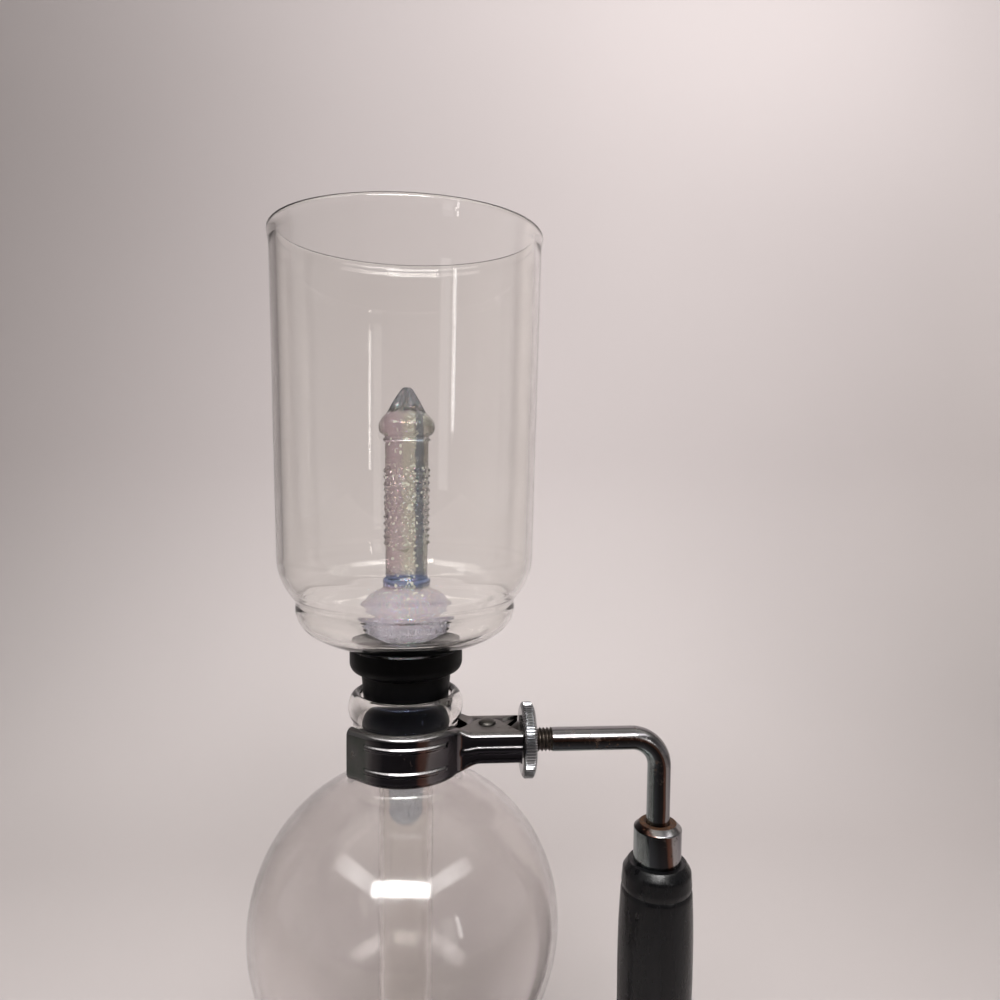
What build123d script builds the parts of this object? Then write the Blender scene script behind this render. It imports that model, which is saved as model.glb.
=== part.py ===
"""Siphon coffee maker: chamber with funnel tube, glass filter, globe flask, neck clamp, stand and burner.

Frame: origin on the table under the flask's axis, +Z up, +X towards the stand's pole. Millimetres.
"""

from build123d import *
import os
from math import acos, cos, degrees, radians, sin, sqrt

os.makedirs("parts", exist_ok=True)

# ---------------------------------------------------------------- driving dimensions
GAP = 0.3  # air between pieces that move apart
FIT = 0.02  # radial air of a pressed or screwed fit
RUNNING = 0.05  # radial air of a turning or sliding fit
LOOSE = 0.1  # radial air of a clearance hole

# base
BASE_R = 55.0  # round part of the base, under the flask
BASE_TAIL_R = 22.0  # small end of the base, round the pole
PLATE_TOP = 9.0
PLATE_BOTTOM = 0.8
PLATE_SHEET = 1.2
SOLE_TOP = 2.0
SOLE_INSET = 1.7
PLATE_EDGE_R = 3.0
WASHER_R = 8.0
WASHER_THICK = 1.2
BASE_NUT_FLAT_R = 6.5  # half its width across flats
BASE_NUT_HEIGHT = 4.0

# pole, handle and arm
POLE_X = 86.8
POLE_R = 5.0
STUD_R = 4.0
POLE_TOP = 112.0
HANDLE_BOTTOM = 62.0
HANDLE_TOP = 161.5
HANDLE_R = 13.0  # at its widest, a third of the way down
HANDLE_WIDEST = HANDLE_TOP - 34.0
HANDLE_SHOULDER_R = 11.7
HANDLE_TOP_R = 9.9
HANDLE_FOOT_R = 11.6
HANDLE_BEVEL = 1.0
FERRULE_BOTTOM = 54.0
FERRULE_R = 9.6
FERRULE_BEVEL = 1.4
SLEEVE_R = 6.5
SLEEVE_BOTTOM = 88.0
SLEEVE_TOP = 150.0
COLLAR_TOP = 175.2
COLLAR_R = 8.25
COLLAR_TOP_R = 6.2
COLLAR_BEVEL = 1.9
ARM_R = 4.0
ARM_Z = 205.1
ARM_BEND_R = 10.0
ARM_FOOT = 122.0
THREAD_CORE_R = 3.6  # plain core that stands for the M8 thread
THREAD_END = 49.5
ROD_START = 36.6
TONGUE_THICK = 3.0
TONGUE_WIDE = 6.4
EYE_R = 4.8

# clamp
RIVET_X = 27.2
RIVET_R = 2.0
RIVET_HEAD_R = 2.95
RIVET_HEAD_THICK = 1.4
RIVET_HEAD_TOP_R = 1.8
BAND_R = 19.5  # outer radius of the jaws round the neck
BAND_BOTTOM = 196.5
BAND_TOP = 213.5
SHEET = 1.5
JAW_TAIL_Y = 9.8
JAW_TAIL_END = 38.3
TAIL_BOTTOM = 200.2
TAIL_TOP = 211.0
FLANGE = 1.1
FLANGE_STEP = 0.2  # air between the front and rear flanges
LEAD_LENGTH = 8.0
LEAD_ANGLE = 230.0
TAIL_ANGLE = -43.0
JAW_CORNER_R = 3.0
JAW_LOBE_R = 5.2
NECK_NOTCH_X = 21.0
NUT_NOTCH_X = 33.0
NOTCH_SLOPE = 1.43  # sideways run of the nut's notch per millimetre along the arm
NUT_START = 38.6
NUT_THICK = 4.5
NUT_R = 12.5
NUT_CHAMFER = 0.6
NUT_FACE_R = NUT_R - 1.2
CONE_START = 35.4
CONE_SMALL_R = 4.4
CONE_LARGE_R = 6.0
CONE_BORE_R = 4.06
CONE_END = NUT_START - GAP
CONE_RIM = 0.8

# globe flask
GLOBE_R = 51.7
GLOBE_Z = 144.8
FLASK_WALL = 2.0
NECK_R = 17.4
NECK_FILLET = 5.0
NECK_TOP = 212.3
BEAD_TOP = 223.0

# upper chamber, funnel tube and stopper
RIM_TOP = 372.0
RIM_R = 43.8
TUBE_R = 9.0
TUBE_BORE_R = 7.4
TUBE_TOP = 231.5
TUBE_BOTTOM = 101.5
STOPPER_BOTTOM = 204.5
STOPPER_BORE_R = TUBE_R + RUNNING

# glass filter
FILTER_TIP = 323.3
STEM_R = 5.7
STEM_BOTTOM = 177.0

# burner
BURNER_FLOOR = PLATE_TOP + GAP
BOWL_R = 34.0
BOWL_WALL = 2.5
BOWL_NECK_R = 13.0
BOWL_TOP = 50.0
GASKET_TOP = 51.2
GASKET_BORE_R = 9.0
COLLAR_PLATE_TOP = 52.4
COLLAR_PLATE_R = 14.8
COLLAR_SKIRT = 46.6
WICK_TUBE_R = 5.0
WICK_TUBE_BOTTOM = 44.0
WICK_TUBE_TOP = 62.0
WICK_R = 3.8
WICK_BOTTOM = 14.0
WICK_TOP = 67.0
CAP_R = 12.5
CAP_WALL = 1.2
CAP_TOP = 74.0
CAP_BEVEL = 4.0


# ---------------------------------------------------------------- shared shapes
UPRIGHT = Plane.XZ  # local x is radius, local y is height
POLE_UPRIGHT = Plane(origin=(POLE_X, 0, 0), x_dir=(1, 0, 0), z_dir=(0, -1, 0))
POLE_AXIS = Axis((POLE_X, 0, 0), (0, 0, 1))
ARM_PLANE = Plane(origin=(0, 0, ARM_Z), x_dir=(1, 0, 0), z_dir=(0, -1, 0))  # local y is radius
ARM_AXIS = Axis((0, 0, ARM_Z), (1, 0, 0))
RIVET_UPRIGHT = Plane(origin=(RIVET_X, 0, 0), x_dir=(1, 0, 0), z_dir=(0, -1, 0))
RIVET_AXIS = Axis((RIVET_X, 0, 0), (0, 0, 1))


def on_circle(centre, radius, angle):
    """Point of a circle at an angle in degrees."""
    return (centre[0] + radius * cos(radians(angle)), centre[1] + radius * sin(radians(angle)))


def turned(profile, plane=UPRIGHT, axis=Axis.Z):
    """Solid turned about an axis from the straight-sided outline given in the plane."""
    with BuildPart() as piece:
        with BuildSketch(plane):
            with BuildLine():
                Polyline(*profile, close=True)
            make_face()
        revolve(axis=axis)
    return piece


def ring(r_in, r_out, bottom, top, plane=UPRIGHT, axis=Axis.Z):
    """Plain turned ring, or a disc where r_in is 0."""
    outline = [(r_in, bottom), (r_out, bottom), (r_out, top), (r_in, top)]
    return turned(outline, plane, axis)


# ---------------------------------------------------------------- base
with BuildPart() as base_sole:
    with BuildSketch():
        Circle(BASE_R - SOLE_INSET)
        with Locations((POLE_X, 0)):
            Circle(BASE_TAIL_R - SOLE_INSET)
        make_hull()
    extrude(amount=SOLE_TOP)

with BuildPart() as base_plate:
    with BuildSketch(Plane.XY.offset(PLATE_BOTTOM)):
        Circle(BASE_R)
        with Locations((POLE_X, 0)):
            Circle(BASE_TAIL_R)
        make_hull()
    extrude(amount=PLATE_TOP - PLATE_BOTTOM)
    fillet(base_plate.edges().group_by(Axis.Z)[-1], radius=PLATE_EDGE_R)
    offset(amount=-PLATE_SHEET, openings=base_plate.faces().sort_by(Axis.Z)[0])
    with BuildSketch(Plane.XY.offset(PLATE_BOTTOM)):
        with Locations((POLE_X, 0)):
            Circle(STUD_R + LOOSE)
    extrude(amount=PLATE_TOP, mode=Mode.SUBTRACT)

plate_underside = PLATE_TOP - PLATE_SHEET
washer_bottom = plate_underside - WASHER_THICK
nut_bottom = washer_bottom - BASE_NUT_HEIGHT
stud_bottom = nut_bottom + 0.4
base_washer = ring(STUD_R + LOOSE, WASHER_R, washer_bottom, plate_underside, POLE_UPRIGHT, POLE_AXIS)

with BuildPart() as base_nut:
    with BuildSketch(Plane.XY.offset(nut_bottom)):
        with Locations((POLE_X, 0)):
            RegularPolygon(radius=BASE_NUT_FLAT_R, side_count=6, major_radius=False)
            Circle(STUD_R + FIT, mode=Mode.SUBTRACT)
    extrude(amount=washer_bottom - nut_bottom)

# ---------------------------------------------------------------- pole, handle and arm
stand_pole = turned(
    [
        (0, stud_bottom),
        (STUD_R, stud_bottom),
        (STUD_R, PLATE_TOP),
        (POLE_R, PLATE_TOP),
        (POLE_R, POLE_TOP),
        (0, POLE_TOP),
    ],
    POLE_UPRIGHT,
    POLE_AXIS,
)
handle_ferrule = turned(
    [
        (POLE_R + FIT, FERRULE_BOTTOM),
        (FERRULE_R - FERRULE_BEVEL, FERRULE_BOTTOM),
        (FERRULE_R, FERRULE_BOTTOM + FERRULE_BEVEL),
        (FERRULE_R, HANDLE_BOTTOM),
        (POLE_R + FIT, HANDLE_BOTTOM),
    ],
    POLE_UPRIGHT,
    POLE_AXIS,
)

pole_room = POLE_TOP + 3.0  # the sleeve's wide bore ends a little above the pole
handle_sleeve = turned(
    [
        (POLE_R + FIT, SLEEVE_BOTTOM),
        (SLEEVE_R, SLEEVE_BOTTOM),
        (SLEEVE_R, SLEEVE_TOP),
        (ARM_R + FIT, SLEEVE_TOP),
        (ARM_R + FIT, pole_room),
        (POLE_R + FIT, pole_room),
    ],
    POLE_UPRIGHT,
    POLE_AXIS,
)

handle_shoulder = HANDLE_TOP - 2.6
handle_foot = HANDLE_BOTTOM + 1.4
with BuildPart() as handle:
    with BuildSketch(POLE_UPRIGHT):
        with BuildLine():
            Polyline(
                (HANDLE_FOOT_R - HANDLE_BEVEL, HANDLE_BOTTOM),
                (POLE_R + FIT, HANDLE_BOTTOM),
                (POLE_R + FIT, SLEEVE_BOTTOM),
                (SLEEVE_R + FIT, SLEEVE_BOTTOM),
                (SLEEVE_R + FIT, SLEEVE_TOP),
                (ARM_R + FIT, SLEEVE_TOP),
                (ARM_R + FIT, HANDLE_TOP),
                (HANDLE_TOP_R, HANDLE_TOP),
                (HANDLE_SHOULDER_R, handle_shoulder),
            )
            Spline(
                (HANDLE_SHOULDER_R, handle_shoulder),
                (HANDLE_R, HANDLE_WIDEST),
                (HANDLE_FOOT_R, handle_foot),
            )
            Line((HANDLE_FOOT_R, handle_foot), (HANDLE_FOOT_R - HANDLE_BEVEL, HANDLE_BOTTOM))
        make_face()
    revolve(axis=POLE_AXIS)

handle_collar = turned(
    [
        (ARM_R + FIT, HANDLE_TOP),
        (COLLAR_R, HANDLE_TOP),
        (COLLAR_R, COLLAR_TOP - COLLAR_BEVEL),
        (COLLAR_TOP_R, COLLAR_TOP),
        (ARM_R + FIT, COLLAR_TOP),
    ],
    POLE_UPRIGHT,
    POLE_AXIS,
)

with BuildPart() as arm_rod:
    with BuildLine(Plane.XZ):
        Polyline((THREAD_END, ARM_Z), (POLE_X - ARM_BEND_R, ARM_Z))
        bend = TangentArc(
            (POLE_X - ARM_BEND_R, ARM_Z), (POLE_X, ARM_Z - ARM_BEND_R), tangent=(1, 0)
        )
        Line(bend @ 1, (POLE_X, ARM_FOOT))
    with BuildSketch(Plane(origin=(THREAD_END, 0, ARM_Z), z_dir=(1, 0, 0))):
        Circle(ARM_R)
    sweep()
    with BuildSketch(Plane(origin=(ROD_START, 0, ARM_Z), z_dir=(1, 0, 0))):
        Circle(THREAD_CORE_R)
    extrude(amount=THREAD_END - ROD_START)
    with BuildSketch(Plane.XY.offset(ARM_Z - TONGUE_THICK / 2)):
        with Locations(((RIVET_X + ROD_START) / 2, 0)):
            Rectangle(ROD_START - RIVET_X, TONGUE_WIDE)
        with Locations((RIVET_X, 0)):
            Circle(EYE_R)
            Circle(RIVET_R + FIT, mode=Mode.SUBTRACT)
    extrude(amount=TONGUE_THICK)

# ---------------------------------------------------------------- clamp
rivet_top = TAIL_TOP + LOOSE
rivet_bottom = TAIL_BOTTOM - LOOSE
pivot_rivet = turned(
    [
        (0, rivet_bottom - RIVET_HEAD_THICK),
        (RIVET_HEAD_TOP_R, rivet_bottom - RIVET_HEAD_THICK),
        (RIVET_HEAD_R, rivet_bottom - RIVET_HEAD_THICK * 0.5),
        (RIVET_HEAD_R, rivet_bottom),
        (RIVET_R, rivet_bottom),
        (RIVET_R, rivet_top),
        (RIVET_HEAD_R, rivet_top),
        (RIVET_HEAD_R, rivet_top + RIVET_HEAD_THICK * 0.5),
        (RIVET_HEAD_TOP_R, rivet_top + RIVET_HEAD_THICK),
        (0, rivet_top + RIVET_HEAD_THICK),
    ],
    RIVET_UPRIGHT,
    RIVET_AXIS,
)

clamp_cone = turned(
    [
        (CONE_START, CONE_BORE_R),
        (CONE_START, CONE_SMALL_R),
        (CONE_END - CONE_RIM, CONE_LARGE_R),
        (CONE_END, CONE_LARGE_R),
        (CONE_END, CONE_BORE_R),
    ],
    ARM_PLANE,
    ARM_AXIS,
)

knurled_nut = turned(
    [
        (NUT_START, THREAD_CORE_R + RUNNING),
        (NUT_START, NUT_FACE_R),
        (NUT_START + NUT_CHAMFER, NUT_R),
        (NUT_START + NUT_THICK - NUT_CHAMFER, NUT_R),
        (NUT_START + NUT_THICK, NUT_FACE_R),
        (NUT_START + NUT_THICK, THREAD_CORE_R + RUNNING),
    ],
    ARM_PLANE,
    ARM_AXIS,
)


def jaw(flange_inset):
    """Front jaw: a sheet band round the neck, its straight tail, and a flange above and below the arm.

    flange_inset moves the flanges inwards, so that the two jaws' flanges lie on each other.
    """
    middle_r = BAND_R - SHEET / 2
    tail_y = -JAW_TAIL_Y + SHEET / 2
    tail_end = JAW_TAIL_END - SHEET / 2
    arc_start = on_circle((0, 0), middle_r, LEAD_ANGLE)
    arc_end = on_circle((0, 0), middle_r, TAIL_ANGLE)
    lead_tip = on_circle(arc_start, LEAD_LENGTH, LEAD_ANGLE - 90)
    slope = TAIL_ANGLE + 90
    rise = (tail_y - arc_end[1]) / sin(radians(slope))
    corner = on_circle(arc_end, rise, slope)
    flange_levels = [TAIL_TOP - FLANGE - flange_inset, TAIL_BOTTOM + flange_inset]

    with BuildPart() as piece:
        with BuildSketch(Plane.XY.offset(BAND_BOTTOM)):
            with BuildLine():
                Line(lead_tip, arc_start)
                CenterArc((0, 0), middle_r, LEAD_ANGLE, TAIL_ANGLE + 360 - LEAD_ANGLE)
                FilletPolyline(arc_end, corner, (tail_end, tail_y), radius=JAW_CORNER_R)
                offset(amount=SHEET / 2)
            make_face()
        extrude(amount=BAND_TOP - BAND_BOTTOM)
        with BuildSketch(Plane.XZ.offset(BAND_R)):
            with BuildLine():
                Polyline(
                    (15.5, BAND_TOP + 1),
                    (23.0, TAIL_TOP - flange_inset),
                    (JAW_TAIL_END + 1, TAIL_TOP - flange_inset),
                    (JAW_TAIL_END + 1, BAND_TOP + 1),
                    close=True,
                )
            make_face()
            with BuildLine():
                Polyline(
                    (15.5, BAND_BOTTOM - 1),
                    (24.0, TAIL_BOTTOM + flange_inset),
                    (JAW_TAIL_END + 1, TAIL_BOTTOM + flange_inset),
                    (JAW_TAIL_END + 1, BAND_BOTTOM - 1),
                    close=True,
                )
            make_face()
        extrude(amount=-2 * BAND_R, mode=Mode.SUBTRACT)
        for level, notch_x in zip(flange_levels, (NUT_NOTCH_X, NUT_NOTCH_X - 1.5)):
            with BuildSketch(Plane.XY.offset(level)):
                with BuildLine():
                    Polyline(
                        (NECK_NOTCH_X, 0),
                        (17.3, -6.4),
                        (15.6, -9.6),
                        corner,
                        (tail_end, tail_y),
                        (tail_end, -(tail_end - notch_x) * NOTCH_SLOPE),
                        (notch_x, 0),
                        close=True,
                    )
                make_face()
                with Locations((RIVET_X, 0)):
                    Circle(JAW_LOBE_R)
                    Circle(RIVET_R + RUNNING, mode=Mode.SUBTRACT)
            extrude(amount=FLANGE)
    return piece


front_jaw = jaw(0.0)
rear_blank = jaw(FLANGE + FLANGE_STEP)
with BuildPart() as rear_jaw:
    add(mirror(rear_blank.part, about=Plane.XZ, mode=Mode.PRIVATE))

# ---------------------------------------------------------------- globe flask
globe_centre = (0, GLOBE_Z)
globe_bore_r = GLOBE_R - FLASK_WALL
neck_bore_r = NECK_R - FLASK_WALL
fillet_x = NECK_R + NECK_FILLET
fillet_z = GLOBE_Z + sqrt((GLOBE_R + NECK_FILLET) ** 2 - fillet_x**2)
join_angle = degrees(acos(fillet_x / (GLOBE_R + NECK_FILLET)))

with BuildPart() as flask_bowl:
    with BuildSketch(UPRIGHT):
        with BuildLine():
            CenterArc(globe_centre, GLOBE_R, -90, 90)
            Line((GLOBE_R, GLOBE_Z), (globe_bore_r, GLOBE_Z))
            CenterArc(globe_centre, globe_bore_r, -90, 90)
            Line((0, GLOBE_Z - GLOBE_R), (0, GLOBE_Z - globe_bore_r))
        make_face()
    revolve(axis=Axis.Z)

with BuildPart() as flask_dome:
    with BuildSketch(UPRIGHT):
        with BuildLine():
            Line((globe_bore_r, GLOBE_Z), (GLOBE_R, GLOBE_Z))
            CenterArc(globe_centre, GLOBE_R, 0, join_angle)
            CenterArc((fillet_x, fillet_z), NECK_FILLET, 180, join_angle)
            Line((NECK_R, fillet_z), (NECK_R, NECK_TOP))
            Spline(
                (NECK_R, NECK_TOP),
                (18.2, 214.9),
                (19.05, 217.8),
                (18.3, 221.2),
                (16.4, BEAD_TOP),
                (14.7, 221.6),
                (14.5, 219.6),
                (neck_bore_r, 213.0),
            )
            Line((neck_bore_r, 213.0), (neck_bore_r, fillet_z))
            CenterArc((fillet_x, fillet_z), NECK_FILLET + FLASK_WALL, 180, join_angle)
            CenterArc(globe_centre, globe_bore_r, 0, join_angle)
        make_face()
    revolve(axis=Axis.Z)

# ---------------------------------------------------------------- upper chamber, funnel tube and stopper
with BuildPart() as upper_chamber:
    with BuildSketch(UPRIGHT):
        with BuildLine():
            Line((40.9, 368.0), (41.3, 370.6))
            ThreePointArc((41.3, 370.6), (42.6, RIM_TOP), (RIM_R, 370.6))
            Line((RIM_R, 370.6), (43.2, 367.6))
            Line((43.2, 367.6), (41.4, 268.0))
            Spline((41.4, 268.0), (41.1, 264.9), (40.2, 261.7), (38.7, 258.8), (37.1, 256.4), (35.7, 254.4))
            Spline(
                (35.7, 254.4),
                (35.75, 252.8),
                (35.6, 250.4),
                (34.4, 247.2),
                (31.9, 244.4),
                (27.0, 241.6),
                (21.0, 239.3),
                (13.5, 236.6),
                (10.2, 234.4),
                (TUBE_R, TUBE_TOP),
            )
            Line((TUBE_R, TUBE_TOP), (TUBE_BORE_R, TUBE_TOP))
            Spline(
                (TUBE_BORE_R, TUBE_TOP),
                (8.6, 236.6),
                (12.5, 239.0),
                (20.0, 241.3),
                (26.0, 243.5),
                (30.0, 245.6),
                (32.4, 248.0),
                (33.7, 250.6),
                (33.9, 253.0),
                (33.6, 255.4),
            )
            Spline((33.6, 255.4), (34.3, 256.8), (35.8, 258.4), (37.4, 260.8), (38.6, 263.8), (39.1, 267.2))
            Line((39.1, 267.2), (40.9, 368.0))
        make_face()
    revolve(axis=Axis.Z)

funnel_tube = ring(TUBE_BORE_R, TUBE_R, TUBE_BOTTOM, TUBE_TOP)

rubber_stopper = turned(
    [
        (STOPPER_BORE_R, STOPPER_BOTTOM),
        (12.5, STOPPER_BOTTOM),
        (13.0, STOPPER_BOTTOM + 0.6),
        (14.1, 221.0),
        (14.8, 229.3),
        (15.8, 229.7),
        (17.6, 231.3),
        (18.6, 233.4),
        (18.6, 237.9),
        (16.5, 237.1),
        (13.5, 236.0),
        (10.4, 233.9),
        (STOPPER_BORE_R + LOOSE, 231.0),
        (STOPPER_BORE_R, 229.0),
    ]
)

# ---------------------------------------------------------------- glass filter
with BuildPart() as glass_filter:
    with BuildSketch(UPRIGHT):
        with BuildLine():
            Line((0, STEM_BOTTOM), (0, FILTER_TIP))
            Spline((0, FILTER_TIP), (1.6, 322.8), (6.4, 315.2), (9.2, 311.1), (8.6, 308.4), (7.1, 306.1))
            Line((7.1, 306.1), (6.9, 261.4))
            Spline((6.9, 261.4), (7.8, 259.4), (11.2, 257.0), (14.6, 254.5), (15.8, 251.0), (15.8, 247.2))
            Spline((15.8, 247.2), (14.2, 243.9), (11.4, 241.2))
            Line((11.4, 241.2), (7.0, 237.4))
            Line((7.0, 237.4), (STEM_R, 236.0))
            Line((STEM_R, 236.0), (STEM_R, STEM_BOTTOM + STEM_R))
            CenterArc((0, STEM_BOTTOM + STEM_R), STEM_R, -90, 90)
        make_face()
    revolve(axis=Axis.Z)

# ---------------------------------------------------------------- burner
bowl_mouth_r = BOWL_NECK_R - BOWL_WALL
bowl_floor_top = 12.0
with BuildPart() as burner_bowl:
    with BuildSketch(UPRIGHT):
        with BuildLine():
            Line((0, BURNER_FLOOR), (24.0, BURNER_FLOOR))
            Spline(
                (24.0, BURNER_FLOOR),
                (31.0, 13.0),
                (BOWL_R, 23.0),
                (30.0, 35.5),
                (18.0, 43.0),
                (BOWL_NECK_R, 46.0),
            )
            Polyline(
                (BOWL_NECK_R, 46.0),
                (BOWL_NECK_R, BOWL_TOP),
                (bowl_mouth_r, BOWL_TOP),
                (bowl_mouth_r, 44.6),
            )
            Spline(
                (bowl_mouth_r, 44.6),
                (17.0, 40.6),
                (28.2, 33.6),
                (31.5, 23.0),
                (28.8, 14.8),
                (23.0, bowl_floor_top),
            )
            Line((23.0, bowl_floor_top), (0, bowl_floor_top))
            Line((0, bowl_floor_top), (0, BURNER_FLOOR))
        make_face()
    revolve(axis=Axis.Z)

burner_gasket = ring(GASKET_BORE_R, BOWL_NECK_R, BOWL_TOP, GASKET_TOP)

burner_collar = turned(
    [
        (WICK_R + LOOSE, WICK_TUBE_BOTTOM),
        (WICK_TUBE_R, WICK_TUBE_BOTTOM),
        (WICK_TUBE_R, GASKET_TOP),
        (BOWL_NECK_R + LOOSE, GASKET_TOP),
        (BOWL_NECK_R + LOOSE, COLLAR_SKIRT),
        (COLLAR_PLATE_R, COLLAR_SKIRT),
        (COLLAR_PLATE_R, COLLAR_PLATE_TOP),
        (WICK_TUBE_R, COLLAR_PLATE_TOP),
        (WICK_TUBE_R, WICK_TUBE_TOP),
        (WICK_R + LOOSE, WICK_TUBE_TOP),
    ]
)

wick = turned(
    [
        (0, WICK_BOTTOM),
        (WICK_R, WICK_BOTTOM),
        (WICK_R, WICK_TOP - 1.0),
        (WICK_R - 1.0, WICK_TOP),
        (0, WICK_TOP),
    ]
)

cap_mouth = COLLAR_PLATE_TOP + GAP
burner_cap = turned(
    [
        (CAP_R - CAP_WALL, cap_mouth),
        (CAP_R, cap_mouth),
        (CAP_R, CAP_TOP - CAP_BEVEL),
        (CAP_R - CAP_BEVEL, CAP_TOP),
        (0, CAP_TOP),
        (0, CAP_TOP - CAP_WALL),
        (CAP_R - CAP_BEVEL - 0.4, CAP_TOP - CAP_WALL),
        (CAP_R - CAP_WALL, CAP_TOP - CAP_BEVEL - 0.4),
    ]
)

# ---------------------------------------------------------------- files
pieces = {
    "base_sole": base_sole,
    "base_plate": base_plate,
    "base_washer": base_washer,
    "base_nut": base_nut,
    "stand_pole": stand_pole,
    "handle_ferrule": handle_ferrule,
    "handle_sleeve": handle_sleeve,
    "handle": handle,
    "handle_collar": handle_collar,
    "arm_rod": arm_rod,
    "pivot_rivet": pivot_rivet,
    "clamp_cone": clamp_cone,
    "knurled_nut": knurled_nut,
    "front_jaw": front_jaw,
    "rear_jaw": rear_jaw,
    "flask_bowl": flask_bowl,
    "flask_dome": flask_dome,
    "upper_chamber": upper_chamber,
    "funnel_tube": funnel_tube,
    "rubber_stopper": rubber_stopper,
    "glass_filter": glass_filter,
    "burner_bowl": burner_bowl,
    "burner_gasket": burner_gasket,
    "burner_collar": burner_collar,
    "wick": wick,
    "burner_cap": burner_cap,
}
for name, piece in pieces.items():
    piece.part.label = name
    export_step(piece.part, f"parts/{name}.step")
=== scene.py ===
"""Looks of the siphon coffee maker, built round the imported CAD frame. Outlines are in millimetres."""
from math import asin, atan2, cos, degrees, exp, pi, radians, sin, sqrt, tan
from random import Random

import bmesh
import bpy
from mathutils import Matrix, Vector


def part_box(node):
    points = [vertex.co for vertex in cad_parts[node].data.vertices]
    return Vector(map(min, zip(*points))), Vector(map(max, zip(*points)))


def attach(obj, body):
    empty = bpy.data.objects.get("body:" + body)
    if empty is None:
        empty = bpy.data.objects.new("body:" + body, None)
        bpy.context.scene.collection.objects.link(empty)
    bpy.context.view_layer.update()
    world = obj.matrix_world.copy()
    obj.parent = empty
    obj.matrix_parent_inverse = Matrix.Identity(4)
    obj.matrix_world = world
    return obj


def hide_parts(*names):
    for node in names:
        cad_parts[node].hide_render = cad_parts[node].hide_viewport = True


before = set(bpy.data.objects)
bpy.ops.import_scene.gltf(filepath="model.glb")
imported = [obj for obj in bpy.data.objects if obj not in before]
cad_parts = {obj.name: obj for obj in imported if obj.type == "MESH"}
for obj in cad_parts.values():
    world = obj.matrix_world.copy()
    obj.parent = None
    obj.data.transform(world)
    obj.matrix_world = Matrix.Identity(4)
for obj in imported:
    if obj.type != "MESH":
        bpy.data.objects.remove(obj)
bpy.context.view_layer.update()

MM = 0.001
TURN = 2 * pi


def low(node, axis):
    """Lowest coordinate of a CAD node, in millimetres."""
    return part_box(node)[0][axis] / MM


def high(node, axis):
    """Highest coordinate of a CAD node, in millimetres."""
    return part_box(node)[1][axis] / MM


def span(node, axis):
    """Lowest and highest coordinate of a CAD node, in millimetres."""
    return low(node, axis), high(node, axis)


X, Y, Z = 0, 1, 2
RIM = high("upper_chamber", Z)
POLE_X, ARM_Z, RIVET_X = (sum(span(node, axis)) / 2 for node, axis in (
    ("handle_collar", X), ("knurled_nut", Z), ("pivot_rivet", X)))


# ---- node materials
class Look:
    """Node tree of a material or a world, with short ways to add nodes and to feed its shader."""

    def __init__(self, owner, fixed=None, shader="Principled BSDF"):
        owner.use_nodes = True
        self.owner = owner
        self.nodes, self.links = owner.node_tree.nodes, owner.node_tree.links
        self.shader = self.nodes[shader]
        self.fill(self.shader, fixed or {})

    def fill(self, node, inputs):
        """Sets each input, by name or number, to a value, or joins it to an output."""
        for key, value in inputs.items():
            socket = node.inputs[key]
            if isinstance(value, bpy.types.NodeSocket):
                self.links.new(value, socket)
            else:
                socket.default_value = (*value, 1.0) if socket.type == "RGBA" else value

    def add(self, kind, inputs=None, **settings):
        """New shader node with its settings and inputs."""
        node = self.nodes.new("ShaderNode" + kind)
        for key, value in settings.items():
            setattr(node, key, value)
        self.fill(node, inputs or {})
        return node

    def where(self, output="Object"):
        """Object-space position, or the way that the surface faces for output Normal."""
        return self.add("TexCoord").outputs[output]

    def split(self, vector):
        """Outputs X, Y and Z of a vector."""
        return self.add("SeparateXYZ", {"Vector": vector}).outputs

    def noise(self, scale, detail=4, roughness=0.5, stretch=(1, 1, 1)):
        """Noise in object space; scale counts features per metre, stretch divides it along an axis."""
        mapping = self.add("Mapping", {"Scale": stretch, "Vector": self.where()})
        return self.add("TexNoise", {"Scale": scale, "Detail": detail, "Roughness": roughness,
                                     "Vector": mapping.outputs["Vector"]}).outputs["Fac"]

    def ramp(self, source, *stops):
        """Colour ramp over a value; stops are (position, colour or grey)."""
        made = self.add("ValToRGB", {"Fac": source})
        elements = made.color_ramp.elements
        for i, (position, colour) in enumerate(stops):
            element = elements[i] if i < 2 else elements.new(position)
            element.position = position
            element.color = (*colour, 1.0) if isinstance(colour, tuple) else (colour, colour, colour, 1.0)
        return made.outputs["Color"]

    def math(self, operation, *values):
        """Result of a math node on up to three values or outputs."""
        return self.add("Math", dict(enumerate(values)), operation=operation).outputs[0]

    def map_range(self, value, start, end):
        """Value taken from start..end to 0..1."""
        return self.add("MapRange", {"From Min": start, "From Max": end, "Value": value}).outputs["Result"]

    def mix(self, factor, first, second, blend="MIX"):
        """Colour that goes from first to second with factor; each may be a value or an output."""
        return self.add("Mix", {"Factor": factor, 6: first, 7: second}, data_type="RGBA", blend_type=blend).outputs[2]

    def feed(self, name, source, *stops):
        """Joins an output, ramped where there are stops, to an input of the shader."""
        self.links.new(self.ramp(source, *stops) if stops else source, self.shader.inputs[name])

    def bump(self, height, strength, distance):
        """Bump on the shader; distance in metres. Bumps stack where it's called twice."""
        made = self.add("Bump", {"Strength": strength, "Distance": distance, "Height": height})
        before = self.shader.inputs["Normal"].links
        if before:
            self.links.new(before[0].from_socket, made.inputs["Normal"])
        self.feed("Normal", made.outputs["Normal"])


def material(name, fixed=None):
    """Look of a new material."""
    return Look(bpy.data.materials.new(name), fixed)


def scaled(colour, factor):
    """Brighter or darker colour."""
    return tuple(min(1.0, factor * c) for c in colour)


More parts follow.
